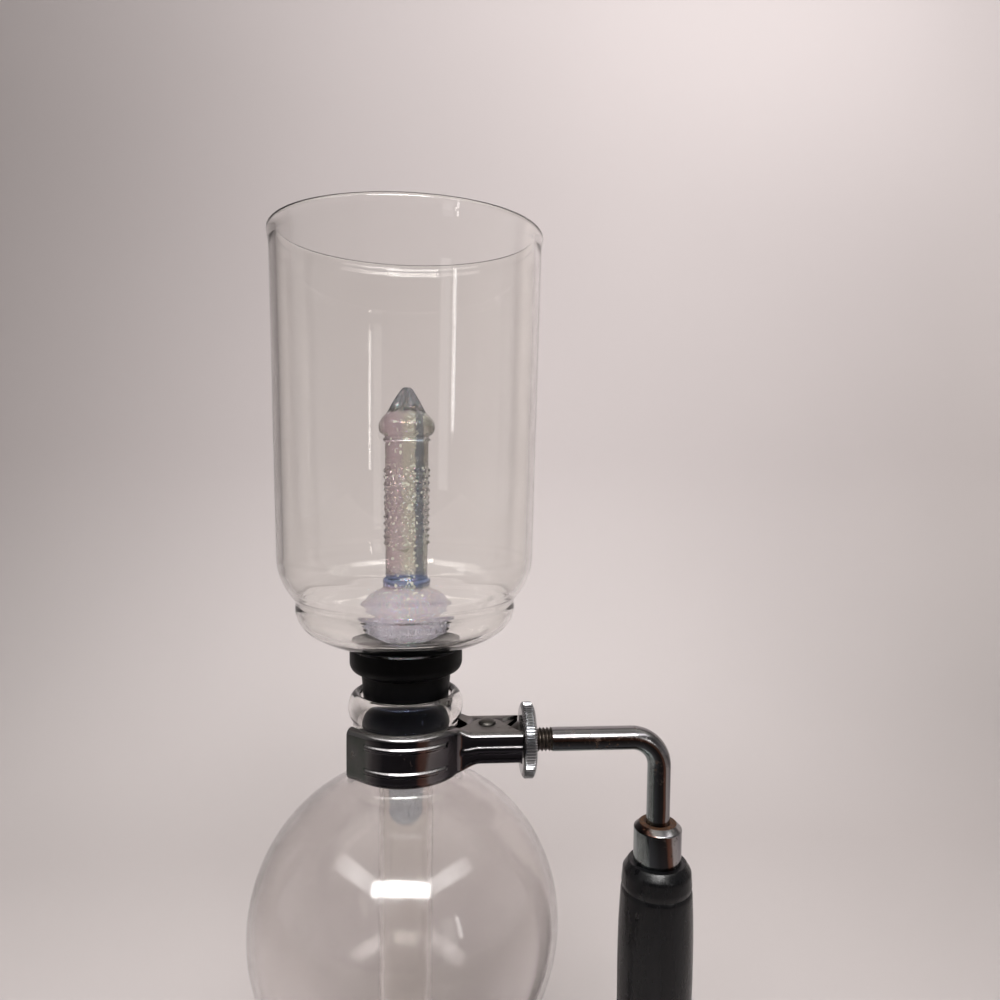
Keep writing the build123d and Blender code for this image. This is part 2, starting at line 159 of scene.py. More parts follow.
def clear_glass(name, tint=(0.985, 0.98, 0.966), smooth=0.012, smeared=0.09, shine=(1.0, 1.0, 1.0)):
    """Blown glass: clear, faintly olive, with slow waves and a film of finger smears between two roughnesses."""
    look = material(name, {"Specular Tint": shine, "IOR": 1.47, "Transmission Weight": 1.0})
    look.feed("Base Color", look.noise(26, 3, 0.6), (0.45, tint), (0.75, scaled(tint, 0.985)))
    look.feed("Roughness", look.noise(55, 5, 0.7, (1, 1, 0.35)), (0.5, smooth), (0.8, smeared))
    look.bump(look.noise(22, 1, 0.4, (1, 1, 0.25)), 0.16, 0.0012)
    return look.owner


def glint_specks(look, scale, side, height):
    """Painted glints: small pale, less clear specks that stand in for glints, thickest on the right half of the
    knobbed post and at the shoulder; value 0 to 1.
    """
    cells = look.add("TexVoronoi", {"Scale": scale, "Vector": look.where()})
    shade = look.add("SeparateColor", {"Color": cells.outputs["Color"]})
    share = look.ramp(side, (0.1, 0.03), (0.46, 0.08), (0.58, 0.26), (0.7, 0.22), (0.78, 0.02))
    reach = look.ramp(height, (0.505, 0.0), (0.52, 0.6), (0.565, 1.0), (0.6, 0.35), (0.645, 1.0), (0.82, 1.0),
                      (0.84, 0.3), (0.9, 0.8), (0.93, 1.0), (0.945, 0.0))
    return look.math("LESS_THAN", shade.outputs["Red"], look.math("MULTIPLY", share, reach))


def filter_glass():
    """Clear glass with an iridescent film: mauve, then straw, then slate across the post, and a blue foot."""
    film, post_r = 620.0, 0.0072
    look = material("filter_glass", {"Roughness": 0.015, "Thin Film IOR": 1.62})
    at = look.split(look.where())
    blotch = look.noise(420, 4, 0.7, (1, 1, 0.6))
    look.feed("Thin Film Thickness", look.math("MULTIPLY", look.map_range(blotch, 0.25, 0.75), film))
    side = look.map_range(at["X"], -post_r, post_r)
    coloured = look.ramp(
        look.math("MULTIPLY_ADD", blotch, 0.16, side),
        (0.05, (0.9, 0.88, 0.88)), (0.12, (0.52, 0.42, 0.45)), (0.34, (0.66, 0.54, 0.57)),
        (0.47, (0.62, 0.53, 0.57)), (0.55, (0.7, 0.69, 0.6)), (0.76, (0.74, 0.74, 0.64)),
        (0.81, (0.15, 0.19, 0.26)), (0.95, (0.2, 0.24, 0.31)), (0.99, (0.93, 0.94, 0.9)))
    height = look.map_range(at["Z"], low("glass_filter", Z) * MM, high("glass_filter", Z) * MM)
    foot = look.ramp(height, (0.56, 0.0), (0.568, 1.0), (0.578, 1.0), (0.588, 0.0))
    tip = look.ramp(height, (0.936, 0.0), (0.95, 1.0))
    stem = look.ramp(height, (0.545, 1.0), (0.56, 0.0))
    for part, colour in ((foot, (0.11, 0.22, 0.62)), (stem, (0.77, 0.74, 0.83)), (tip, (0.38, 0.42, 0.47))):
        coloured = look.mix(part, coloured, colour)
    look.feed("IOR", height, (0.548, 1.12), (0.56, 1.5))
    # painted glints: pale specks with less transmission where this mask is set
    painted_glint = glint_specks(look, 1150.0, side, height)
    look.feed("Base Color", look.mix(painted_glint, coloured, (0.9, 0.9, 0.78)))
    look.feed("Transmission Weight", painted_glint, (0.0, 1.0), (1.0, 0.25))
    look.bump(look.noise(700, 2, 0.6), 0.3, 0.0005)
    return look.owner


def frosted_glass(name="frosted_glass", colour=(0.84, 0.83, 0.93), rough=0.24, clear=0.85, bend=1.14):
    """Ground glass of the filter's seat and stem: lavender grey, rough, with bright grit. bend is its IOR."""
    look = material(name, {"IOR": bend})
    cloud, grit = look.noise(420, 4, 0.65), look.noise(2600, 2, 0.7)
    look.feed("Base Color", cloud, (0.3, scaled(colour, 0.92)), (0.7, colour))
    look.feed("Roughness", cloud, (0.35, 0.8 * rough), (0.7, 1.3 * rough))
    look.feed("Transmission Weight", grit, (0.55, clear), (0.66, 0.3 * clear))
    look.bump(grit, 2.2 * rough, 0.0004)
    return look.owner


def rubber():
    """Black moulded rubber with a dusty grain and rubbed shine."""
    colour = (0.0009, 0.0009, 0.0012)
    look = material("black_rubber", {"Specular IOR Level": 0.10})
    shade = look.noise(140, 5, 0.65)
    look.feed("Base Color", shade, (0.35, colour), (0.8, scaled(colour, 2.6)))
    look.feed("Roughness", shade, (0.3, 0.34), (0.75, 0.58))
    look.bump(look.noise(3200, 2, 0.6), 0.35, 0.0002)
    return look.owner


def plated(name, bands, roughness, rust=0.68, lift=0.0, upturned_highlight=None):
    """Old chrome: plate with painted reflections and painted shade, cloudy dulling, scratches, and brown pits where
    the noise is high.

    bands are (side, colour) stops of painted reflection and shade over the way the surface faces: its x, plus lift
    times its z.
    rust sets where the pits start. The last argument is the colour of a painted highlight on faces that turn upwards.
    """
    look = material(name)
    facing = look.split(look.where("Normal"))
    pits, patch, scratch = look.noise(620, 6, 0.72), look.noise(95, 4, 0.6), look.noise(900, 2, 0.5)
    joined = look.math("MULTIPLY_ADD", patch, 0.45, pits)
    rusty = look.ramp(joined, (rust + 0.19, 0.0), (rust + 0.235, 1.0))
    turned = look.math("MULTIPLY_ADD", facing["Z"], lift, facing["X"])
    ragged = look.map_range(look.math("MULTIPLY_ADD", patch, 0.16, turned), -0.92, 1.08)
    # painted reflections and painted shade: colour stops over the way the surface faces
    painted_reflection = look.ramp(ragged, *(((side + 1) / 2, colour) for side, colour in bands))
    if upturned_highlight:
        # painted highlight: a paler colour on faces that turn upwards, as if lit from above
        highlight_mask = look.ramp(facing["Z"], (0.22, 0.0), (0.5, 1.0), (0.9, 1.0), (0.97, 0.3))
        painted_reflection = look.mix(highlight_mask, painted_reflection, upturned_highlight)
    look.feed("Base Color", look.mix(rusty, painted_reflection, (0.045, 0.024, 0.014)))
    look.feed("Metallic", rusty, (0.0, 1.0), (1.0, 0.25))
    cloudy = look.ramp(patch, (0.3, roughness), (0.8, roughness * 1.7))
    look.feed("Roughness", look.mix(rusty, cloudy, (0.7, 0.7, 0.7)))
    look.bump(scratch, 0.05, 0.00012)
    look.bump(joined, 0.1, 0.0004)
    return look.owner


def rusted():
    """Bare turned face gone brown: dark iron oxide with paler grains."""
    look = material("rust", {"Metallic": 0.35})
    grain = look.noise(800, 6, 0.75)
    look.feed("Base Color", grain, (0.3, (0.012, 0.007, 0.005)), (0.5, (0.06, 0.026, 0.012)),
              (0.66, (0.15, 0.07, 0.03)), (0.8, (0.24, 0.16, 0.1)))
    look.feed("Roughness", grain, (0.3, 0.45), (0.7, 0.85))
    look.bump(grain, 0.8, 0.0005)
    return look.owner


def steel(name, colour, roughness):
    """Plain machined or plated steel with turning marks."""
    look = material(name, {"Metallic": 1.0})
    marks = look.noise(700, 4, 0.6, (1, 1, 4))
    look.feed("Base Color", marks, (0.3, colour), (0.75, scaled(colour, 1.25)))
    look.feed("Roughness", marks, (0.3, roughness), (0.75, roughness * 1.5))
    look.bump(marks, 0.2, 0.0003)
    return look.owner


def thread_steel():
    """Bare thread: brown greasy steel in darker and paler grains."""
    look = material("thread_steel", {"Metallic": 0.9})
    grain = look.noise(900, 5, 0.7)
    look.feed("Base Color", grain, (0.32, (0.02, 0.016, 0.013)), (0.52, (0.075, 0.06, 0.05)),
              (0.75, (0.2, 0.175, 0.155)))
    look.feed("Roughness", grain, (0.3, 0.5), (0.7, 0.22))
    look.bump(grain, 0.4, 0.0003)
    return look.owner


def plastic():
    """Moulded black phenolic with an orange-peel skin and fine scuffs."""
    colour = (0.0022, 0.0022, 0.0027)
    look = material("black_plastic", {"Specular IOR Level": 0.28})
    scuff = look.noise(180, 6, 0.7, (1, 1, 0.3))
    look.feed("Base Color", scuff, (0.4, colour), (0.8, scaled(colour, 2.2)))
    look.feed("Roughness", scuff, (0.35, 0.2), (0.75, 0.4))
    look.bump(look.noise(420, 2, 0.5), 0.12, 0.0006)
    return look.owner


def braid():
    """Cotton braid of the wick: crossed strands along its height."""
    look = material("cotton_braid", {"Roughness": 0.92, "Sheen Weight": 0.4})
    strands = []
    for lean in (0.8, -0.8):
        mapping = look.add("Mapping", {"Rotation": (0.0, lean, 0.0), "Vector": look.where()})
        wave = look.add("TexWave", {"Scale": 260.0, "Distortion": 1.5, "Vector": mapping.outputs["Vector"]})
        strands.append(wave.outputs["Fac"])
    crossed = look.math("MAXIMUM", *strands)
    look.feed("Base Color", crossed, (0.2, (0.42, 0.38, 0.3)), (0.9, (0.84, 0.81, 0.73)))
    look.bump(crossed, 0.8, 0.0005)
    return look.owner


def paper():
    """Matt paper of the floor and cove, with a trace of grain."""
    colour = (0.6, 0.555, 0.555)
    look = material("pale_paper", {"Roughness": 0.7, "Specular IOR Level": 0.1})
    look.feed("Base Color", look.noise(2.2, 2, 0.5), (0.35, scaled(colour, 0.955)), (0.7, colour))
    return look.owner


GLASS = clear_glass("clear_glass")
FLASK_GLASS = clear_glass("flask_glass", (0.915, 0.895, 0.89), 0.08, 0.26)
# Neck glass: reflections tinted dark navy, a painted dark reflection of the room in front.
NECK_GLASS = clear_glass("neck_glass", shine=(0.1, 0.12, 0.2))
FILTER = filter_glass()
FROST = frosted_glass()
STEM = frosted_glass("stem_glass", (0.84, 0.92, 1.0), 0.05, 0.96, 1.12)
RUBBER = rubber()
# Clamp chrome: painted reflections and painted shade by the way the sheet faces: green at the left, black across the
# front, brown and pale bands, and a painted highlight on upturned edges.
CLAMP_CHROME = plated("clamp_chrome", [
    (-1.0, 0.1), (-0.72, (0.045, 0.075, 0.055)), (-0.6, 0.16), (-0.5, (0.08, 0.075, 0.08)),
    (-0.34, (0.024, 0.023, 0.028)), (0.2, (0.022, 0.02, 0.024)),
    (0.26, (0.1, 0.05, 0.042)), (0.36, (0.12, 0.075, 0.065)), (0.42, (0.2, 0.185, 0.19)),
    (0.58, (0.14, 0.13, 0.14)), (0.72, (0.07, 0.065, 0.075)), (1.0, (0.08, 0.08, 0.09))], 0.17, rust=0.7,
    upturned_highlight=(0.22, 0.21, 0.215))
CLAMP_DULL = plated("clamp_dull", [(-1.0, (0.17, 0.162, 0.155)), (1.0, (0.21, 0.198, 0.188))], 0.36)
# Rod chrome: painted reflections and painted shade by the way the rod faces: blue-green at one side, black in the
# middle, a brown band, a pale painted highlight band, then grey.
ROD_CHROME = plated("rod_chrome", [
    (-1.0, (0.26, 0.3, 0.3)), (-0.72, (0.2, 0.235, 0.235)), (-0.58, (0.05, 0.055, 0.06)),
    (-0.2, (0.022, 0.022, 0.024)), (0.1, (0.026, 0.022, 0.022)), (0.2, (0.13, 0.06, 0.042)),
    (0.34, (0.15, 0.09, 0.075)), (0.42, (0.4, 0.38, 0.38)), (0.62, (0.34, 0.33, 0.34)),
    (0.76, (0.2, 0.19, 0.205)), (1.0, (0.3, 0.29, 0.3))], 0.14, rust=0.67, lift=1.0)
# Nut and base: chrome tones painted by the way each face turns, a mild painted reflection and shade; the nut is
# darkest on faces turned towards the jaws.
NUT_CHROME = plated("nut_chrome", [(-1.0, (0.26, 0.262, 0.27)), (-0.3, (0.38, 0.385, 0.4)),
                                   (1.0, (0.46, 0.465, 0.48))], 0.13, rust=0.76)
BASE_CHROME = plated("base_chrome", [(-1.0, (0.42, 0.42, 0.43)), (0.0, (0.6, 0.6, 0.61)),
                                     (1.0, (0.5, 0.5, 0.52))], 0.16, rust=0.8)
RUST = rusted()
THREAD = thread_steel()
DARK_STEEL = steel("dark_steel", (0.075, 0.07, 0.065), 0.34)
ZINC = steel("zinc_steel", (0.5, 0.5, 0.52), 0.3)
PLASTIC = plastic()
COTTON = braid()


# ---- mesh helpers
def through(points, steps=8):
    """Smooth curve through the points (Catmull-Rom), as a list that starts and ends on them."""
    first = [2 * a - b for a, b in zip(points[0], points[1])]
    last = [2 * a - b for a, b in zip(points[-1], points[-2])]
    run = [first, *points, last]
    made = []
    for i in range(1, len(run) - 2):
        p0, p1, p2, p3 = run[i - 1: i + 3]
        for k in range(steps):
            t = k / steps
            made.append(tuple(
                0.5 * (2 * b + (c - a) * t + (2 * a - 5 * b + 4 * c - d) * t * t + (3 * b - a - 3 * c + d) * t**3)
                for a, b, c, d in zip(p0, p1, p2, p3)))
    made.append(tuple(points[-1]))
    return made


def straight(a, b, steps):
    """Points from a to b, both included."""
    return [tuple(p + (q - p) * k / steps for p, q in zip(a, b)) for k in range(steps + 1)]


def arc(centre, radius, start, end, steps=10):
    """Points of a circle in the outline's plane between two angles in degrees."""
    angles = [radians(start + (end - start) * k / steps) for k in range(steps + 1)]
    return [(centre[0] + radius * cos(a), centre[1] + radius * sin(a)) for a in angles]


def outline(*runs):
    """Joins runs of points, leaving out repeated ones."""
    made = []
    for point in (p for run in runs for p in run):
        if not made or max(abs(a - b) for a, b in zip(made[-1], point)) > 1e-6:
            made.append(point)
    return made


def softened(points, radius, steps=4, closed=True):
    """Outline with each corner rounded; radius is one number, or one for each corner."""
    count, most = len(points), 0.48
    radii = [radius] * count if isinstance(radius, (int, float)) else radius
    made = []
    for i, corner in enumerate(points):
        if radii[i] == 0 or not closed and i in (0, count - 1):
            made.append(tuple(corner))
            continue
        here = Vector(corner)
        back = Vector(points[i - 1]) - here
        ahead = Vector(points[(i + 1) % count]) - here
        reach = min(radii[i], back.length * most, ahead.length * most)
        a, b = here + back.normalized() * reach, here + ahead.normalized() * reach
        for k in range(steps + 1):
            t = k / steps
            made.append(tuple(a * (1 - t) ** 2 + here * (2 * t * (1 - t)) + b * t * t))
    return made


def lathed(profile, turns=128, centre=(0.0, 0.0), closed=False, shift=None):
    """Vertices and faces of an outline turned about a vertical axis.

    profile holds (radius, height). closed joins its end to its start; otherwise both ends are on the axis.
    shift(angle, radius, height) may add to the radius.
    """
    vertices, faces, rings = [], [], []
    for radius, height in profile:
        if radius < 1e-6:
            rings.append([len(vertices)] * turns)
            vertices.append((centre[0], centre[1], height))
            continue
        rings.append(range(len(vertices), len(vertices) + turns))
        for k in range(turns):
            angle = TURN * k / turns
            r = radius + (shift(angle, radius, height) if shift else 0.0)
            vertices.append((centre[0] + r * cos(angle), centre[1] + r * sin(angle), height))
    pairs = list(zip(rings, rings[1:])) + ([(rings[-1], rings[0])] if closed else [])
    for a, b in pairs:
        for k in range(turns):
            n = (k + 1) % turns
            face = list(dict.fromkeys((a[k], a[n], b[n], b[k])))
            if len(face) > 2:
                faces.append(face)
    return vertices, faces


def blown(*waves):
    """Shift for lathed(), as slight waves of hand-blown glass: depth, lobes, phase and twist over the height."""
    return lambda angle, radius, height: sum(
        depth * sin(lobes * angle + phase + height * twist) for depth, lobes, phase, twist in waves)


def densed(profile, steps_between):
    """Closed outline with more points on the runs where steps_between(a, b) is more than 1."""
    return [p for a, b in zip(profile, profile[1:] + profile[:1]) for p in straight(a, b, steps_between(a, b))[:-1]]


def hoops(rows, around, closed=False, skip=None):
    """Faces between rows of around points each; closed joins the last row to the first, skip leaves one gap."""
    faces = []
    for i in range(rows if closed else rows - 1):
        if i != skip:
            a, b = i * around, (i + 1) % rows * around
            faces += [(a + k, a + (k + 1) % around, b + (k + 1) % around, b + k) for k in range(around)]
    return faces


def lid(row, around):
    """Face over one row of points."""
    return tuple(range(row * around, (row + 1) * around))


def below(level, points):
    """(radius, depth under a level) to (radius, height)."""
    return [(r, level - d) for r, d in points]


def above(level, points):
    """(radius, height over a level) to (radius, height)."""
    return [(r, level + h) for r, h in points]


def along_arm(shape):
    """Turns a lathed shape so that its axis is the arm's: height becomes x."""
    vertices, faces = shape
    return [(z, x, ARM_Z + y) for x, y, z in vertices], faces


def placed(name, data):
    """New object in the scene."""
    made = bpy.data.objects.new(name, data)
    bpy.context.scene.collection.objects.link(made)
    return made


def smooth_mesh(name, vertices, faces, materials):
    """Smoothly shaded mesh, in metres."""
    mesh = bpy.data.meshes.new(name)
    mesh.from_pydata(vertices, [], faces)
    for used in materials:
        mesh.materials.append(used)
    mesh.polygons.foreach_set("use_smooth", [True] * len(mesh.polygons))
    return mesh


def piece(name, shape, made_of, body, nodes, smooth=38.0):
    """Blender object from millimetre vertices, riding on its body and standing for its CAD nodes."""
    vertices, faces = shape
    mesh = smooth_mesh(name, [tuple(MM * c for c in v) for v in vertices], faces,
                       made_of if isinstance(made_of, list) else [made_of])
    sides = bmesh.new()
    sides.from_mesh(mesh)
    bmesh.ops.recalc_face_normals(sides, faces=sides.faces)
    sides.to_mesh(mesh)
    sides.free()
    mesh.set_sharp_from_angle(angle=radians(smooth))
    made = placed(name, mesh)
    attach(made, body)
    if nodes:
        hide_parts(*nodes)
    return made


def paint(obj, test, index):
    """Gives the faces that pass test(centre in millimetres, normal) another of the object's materials."""
    for polygon in obj.data.polygons:
        if test(polygon.center / MM, polygon.normal):
            polygon.material_index = index


# ---- upper chamber with its funnel tube
def chamber():
    """Open chamber with its dished floor, and the funnel tube fused to it, as one blown piece."""
    tube_end, tube_top = span("funnel_tube", Z)
    lip = below(RIM, [
        (40.94, 7), (40.98, 5), (41.1, 3.2), (41.4, 1.6), (41.9, 0.5), (42.6, 0), (43.35, 0.35), (43.75, 1.3),
        (43.6, 2.8), (43.3, 4.4), (43.18, 6), (43.13, 8)])
    shoulder = below(RIM, [
        (41.46, 101.5), (41.4, 104), (41.1, 107.1), (40.2, 110.3), (38.8, 113.2), (37.2, 115.5), (35.7, 117.5)])
    ring = below(RIM, [
        (35.7, 117.5), (35.65, 118.6), (35.8, 120), (35.6, 121.8), (34.4, 124.8), (31.9, 127.6), (27, 130.4),
        (21, 132.7), (13.5, 135.4), (10.2, 137.6), (9, 141.4)])
    dish = below(RIM, [
        (7.4, 141.4), (8.4, 136.2), (12.5, 133.8), (20, 131.2), (26, 129.1), (30.2, 127), (32.8, 124.6),
        (34.1, 121.6), (34.35, 119.4), (34.4, 117.6)])
    floor = below(RIM, [
        (34.4, 117.6), (35, 115.8), (36.1, 113.8), (37.6, 111.2), (38.7, 108.2), (39.15, 105), (39.2, 102.5)])
    tube_r, bore, rounding = 9.0, 7.4, 0.8
    tube_low, tube_high = tube_end + rounding, tube_top - 0.9
    profile = outline(through(lip), straight(lip[-1], shoulder[0], 24), through(shoulder), through(ring),
                      straight((tube_r, tube_high), (tube_r, tube_low), 12),
                      arc((tube_r - rounding, tube_low), rounding, 0, -180, 8),
                      straight((bore, tube_low), (bore, tube_high), 12), through(dish), through(floor),
                      straight(floor[-1], lip[0], 24))
    waves = blown((0.05, 2, 0.6 + 0.013 * RIM, -0.013), (0.03, 5, 0.04 * RIM, -0.04))
    shape = lathed(profile[:-1], 192, closed=True, shift=waves)
    piece("chamber_glass", shape, GLASS, "upper", ["upper_chamber", "funnel_tube"], 60.0)


def stopper():
    """Tapered plug with a flange, bored for the tube."""
    bottom, top = span("rubber_stopper", Z)
    bore = 9.06
    points = [(bore, bottom), (12.9, bottom)] + below(top, [
        (14.1, 16.9), (14.8, 8.6), (15.6, 8.3), (17.9, 7), (18.6, 5.4), (18.6, 0), (16.4, 0.8), (13.4, 1.95),
        (10.6, 4), (bore, 7.4)])
    radii = [0.2, 0.8, 0.0, 0.2, 0.3, 0.8, 0.7, 0.3, 0.6, 0.6, 0.6, 0.3]
    shape = lathed(softened(points, radii, 6), 128, closed=True)
    piece("stopper_rubber", shape, RUBBER, "upper", ["rubber_stopper"], 40.0)


# ---- glass filter
def filter_outline(tip, stem_end, knobs_low, knobs_high):
    """Outline of the filter's rod, from its tip down to the stem's round end."""
    post_r, waist_r, stem_r = 7.1, 6.95, 5.7
    head = below(tip, [
        (0, 0), (1.5, 0.4), (2.7, 1.9), (4.7, 5), (6.4, 8.1), (8.2, 10.2), (9.2, 12.4), (8.9, 14.6), (7.7, 15.8)])
    bead = below(tip, [(7.7, 15.8), (7.2, 16.2), (7.75, 16.8), (7.7, 17.5), (7.15, 18.1)])
    foot = below(tip, [
        (6.9, 61.9), (7.3, 62.7), (7.9, 63.5), (7.7, 64.6), (8.1, 65.3), (9.6, 66.4), (12, 68.4), (14.2, 70.6),
        (15.5, 72.8), (15.85, 75), (15.6, 77.4), (14.4, 79.8), (12.2, 81.4), (11.2, 82.2)])
    return outline(
        through(head), through(bead), straight((post_r, tip - 18.1), (post_r, knobs_high), 6),
        straight((post_r, knobs_high), (waist_r, knobs_low), 130), straight((waist_r, knobs_low), foot[0], 6),
        through(foot), straight(foot[-1], (7.0, tip - 85.9), 6),
        straight((stem_r, tip - 87.3), (stem_r, stem_end + stem_r), 40),
        arc((0.0, stem_end + stem_r), stem_r, 0, -90, 14)[:-1], [(0.0, stem_end)])


def scattered_knobs(knobs_low, knobs_high, rows, per_row):
    """Rows of (angle, height, size) for the knobs, each a little off its place."""
    dice = Random(11)
    lumps = []
    for row in range(rows):
        height = knobs_low + (knobs_high - knobs_low) * (row + 0.5) / rows
        lumps.append([])
        for k in range(per_row):
            angle = TURN * (k + 0.5 * (row % 2) + dice.uniform(-0.2, 0.2)) / per_row
            lumps[row].append((angle % TURN, height + dice.uniform(-0.3, 0.3), dice.uniform(0.45, 0.75)))
    return lumps


def filter_rod():
    """One glass rod: fluted tip, knobbed post, bell that seats on the dish, and a stem down the tube."""
    stem_end, tip = span("glass_filter", Z)
    knobs_low, knobs_high = tip - 52.0, tip - 26.0
    rows, per_row, reach, spread = 12, 19, 1.6, 0.42
    lumps = scattered_knobs(knobs_low, knobs_high, rows, per_row)

    def knobbly(angle, radius, height):
        """Flutes on the tip, knobs on the post."""
        flutes, fluted, margin = 9, 9.5, 1.2
        if height > tip - fluted:
            depth = 0.15 * smooth_step(0.0, 3.0, tip - height) * smooth_step(0.0, 2.5, height - tip + fluted)
            return -depth * radius * (0.5 + 0.5 * cos(flutes * angle))
        if not knobs_low - margin < height < knobs_high + margin:
            return 0.0
        nearest = int((height - knobs_low) / (knobs_high - knobs_low) * rows)
        raised = 0.0
        for row in (nearest - 1, nearest, nearest + 1):
            for at, level, size in lumps[row] if 0 <= row < rows else []:
                across = abs((angle - at + pi) % TURN - pi) * radius
                if across < reach:
                    raised += size * exp(-(across**2 + (height - level) ** 2) / spread)
        return raised

    shape = lathed(filter_outline(tip, stem_end, knobs_low, knobs_high), 240, shift=knobbly)
    made = piece("filter_glass_rod", shape, [FILTER, FROST, STEM], "filter", ["glass_filter"], 50.0)
    paint(made, lambda c, n: tip - 85.9 < c.z < tip - 77.0, 1)
    paint(made, lambda c, n: c.z < tip - 87.0, 2)


# ---- globe flask
def flask():
    """Globe, shoulder, neck and rolled bead, as one blown piece."""
    globe_r = high("flask_bowl", X)
    bottom, top = low("flask_bowl", Z), high("flask_dome", Z)
    wall, neck_r, bend = 2.0, 17.4, 5.0
    centre = (0.0, bottom + globe_r)
    bend_x = neck_r + bend
    bend_at = (bend_x, centre[1] + sqrt((globe_r + bend) ** 2 - bend_x**2))
    join = 90 - degrees(asin(bend_x / (globe_r + bend)))
    bead = below(top, [
        (neck_r, 10.9), (17.7, 9.2), (18.5, 7.7), (19.05, 5.4), (18.75, 2.7), (17.7, 0.8), (16.4, 0), (15.2, 0.6),
        (14.55, 2.2), (14.7, 5), (15.3, 8.5), (neck_r - wall, 11.5)])
    profile = outline(
        [(0.0, bottom)], arc(centre, globe_r, -90, join, 96)[1:], arc(bend_at, bend, 180 + join, 180, 12),
        straight((neck_r, bend_at[1]), bead[0], 6), through(bead), straight(bead[-1], (neck_r - wall, bend_at[1]), 6),
        arc(bend_at, bend + wall, 180, 180 + join, 12), arc(centre, globe_r - wall, join, -90, 96)[:-1],
        [(0.0, bottom + wall)])
    shape = lathed(profile, 192, shift=blown((0.04, 3, 1.0, 0.02), (0.025, 7, 0.0, 0.05)))
    made = piece("flask_glass", shape, [FLASK_GLASS, NECK_GLASS], "stand", ["flask_bowl", "flask_dome"],
                 60.0)
    paint(made, lambda c, n: c.z > top - 26.0, 1)


# ---- neck clamp
SHEET, BAND_R, LIP_R = 1.05, 19.5, 17.85
LEAD_ANGLE, TAIL_ANGLE = 230.0, -43.0
BAND_LOW, BAND_HIGH = span("front_jaw", Z)
NUT_END = high("front_jaw", X)


def smooth_step(start, end, x):
    """0 before start, 1 after end, and an eased rise between."""
    t = min(1.0, max(0.0, (x - start) / (end - start)))
    return t * t * (3 - 2 * t)


def round_neck(radius, angle):
    """Point at an angle in degrees round the flask's neck, seen from above."""
    return Vector((radius * cos(radians(angle)), radius * sin(radians(angle))))


def flange_edge(x):
    """How far the flanges reach across the arm: a notch, a lobe round the rivet, and a notch by the nut."""
    notch_x, nut_notch_x, lobe_r, notch_slope, nut_slope = 21.0, 33.0, 5.2, 1.55, 1.75
    if x < notch_x:
        return -(notch_x - x) * notch_slope
    lobe = lobe_r**2 - (x - RIVET_X) ** 2
    return sqrt(lobe) if lobe > 0 else -max(0.0, x - nut_notch_x) * nut_slope


def tail_plan():
    """Points and outward normals of the sheet from the band's end, round its bend and along the tail."""
    tail_y, bend_r, lead_steps, bend_steps, steps = -9.8, 2.6, 6, 10, 110
    out, ahead = round_neck(1.0, TAIL_ANGLE), round_neck(1.0, TAIL_ANGLE + 90)
    arc_end = out * BAND_R
    corner = arc_end + ahead * ((tail_y - arc_end.y) / ahead.y)
    bend_start = corner - ahead * (bend_r * tan(radians(TAIL_ANGLE + 90) / 2))
    plan = [(arc_end.lerp(bend_start, k / lead_steps), out) for k in range(1, lead_steps + 1)]
    for k in range(1, bend_steps + 1):
        toward = round_neck(1.0, TAIL_ANGLE + 180 - (TAIL_ANGLE + 90) * k / bend_steps)
        plan.append((bend_start + out * bend_r + toward * bend_r, -toward))
    run_x = plan[-1][0].x
    for k in range(1, steps + 1):
        plan.append((Vector((run_x + (NUT_END - run_x) * k / steps, tail_y)), Vector((0, -1))))
    return plan


def jaw_stations():
    """Stations from the jaw's free tip round the neck to the nut.

    Each is the sheet's outer point, its outward normal, the inner edge of the flanges, and the angle round the neck
    where the ribs are.
    """
    lead, lead_steps, arc_steps, hold_x, hold_ahead = 8.0, 12, 96, 17.1, 2.6
    out, back = round_neck(1.0, LEAD_ANGLE), round_neck(1.0, LEAD_ANGLE - 90)
    stations = []
    for k in range(lead_steps + 1):
        here = round_neck(BAND_R, LEAD_ANGLE) + back * lead * (1 - k / lead_steps)
        stations.append((here, out, here - out * (BAND_R - LIP_R), None))
    for k in range(1, arc_steps + 1):
        angle = LEAD_ANGLE + (TAIL_ANGLE + 360 - LEAD_ANGLE) * k / arc_steps
        out = round_neck(1.0, angle)
        stations.append((out * BAND_R, out, out * LIP_R, angle - 360))
    plan = tail_plan()
    hold = Vector((hold_x, flange_edge(hold_x)))
    hold_angle = degrees(atan2(hold.y, hold.x))
    split = len([here for here, _ in plan if here.x < hold_x + hold_ahead])
    for k, (here, out) in enumerate(plan, 1):
        if k <= split:
            t = k / split
            inner = round_neck(LIP_R + (hold.length - LIP_R) * t, TAIL_ANGLE + (hold_angle - TAIL_ANGLE) * t)
        else:
            x = hold_x + (NUT_END - hold_x) * (k - split) / (len(plan) - split)
            inner = Vector((x, flange_edge(x)))
        stations.append((here, out, inner, None))
    return stations


def pressed(x, angle, over_low, over_middle):
    """How far the wall stands out: two ribs round the neck, and a crease between sunk edges along the tail."""
    crease = smooth_step(17.2, 19.5, x)
    raised = crease * (0.24 * exp(-((over_middle / 0.8) ** 2)) - 0.28 * smooth_step(0.6, 1.6, abs(over_middle)))
    if angle is not None:
        ends = smooth_step(-136.0, -131.0, angle) * (1 - smooth_step(-50.0, -44.5, angle))
        raised += 0.62 * ends * sum(exp(-(((over_low - rib) / 0.72) ** 4)) for rib in (12.6, 4.9))
    return raised


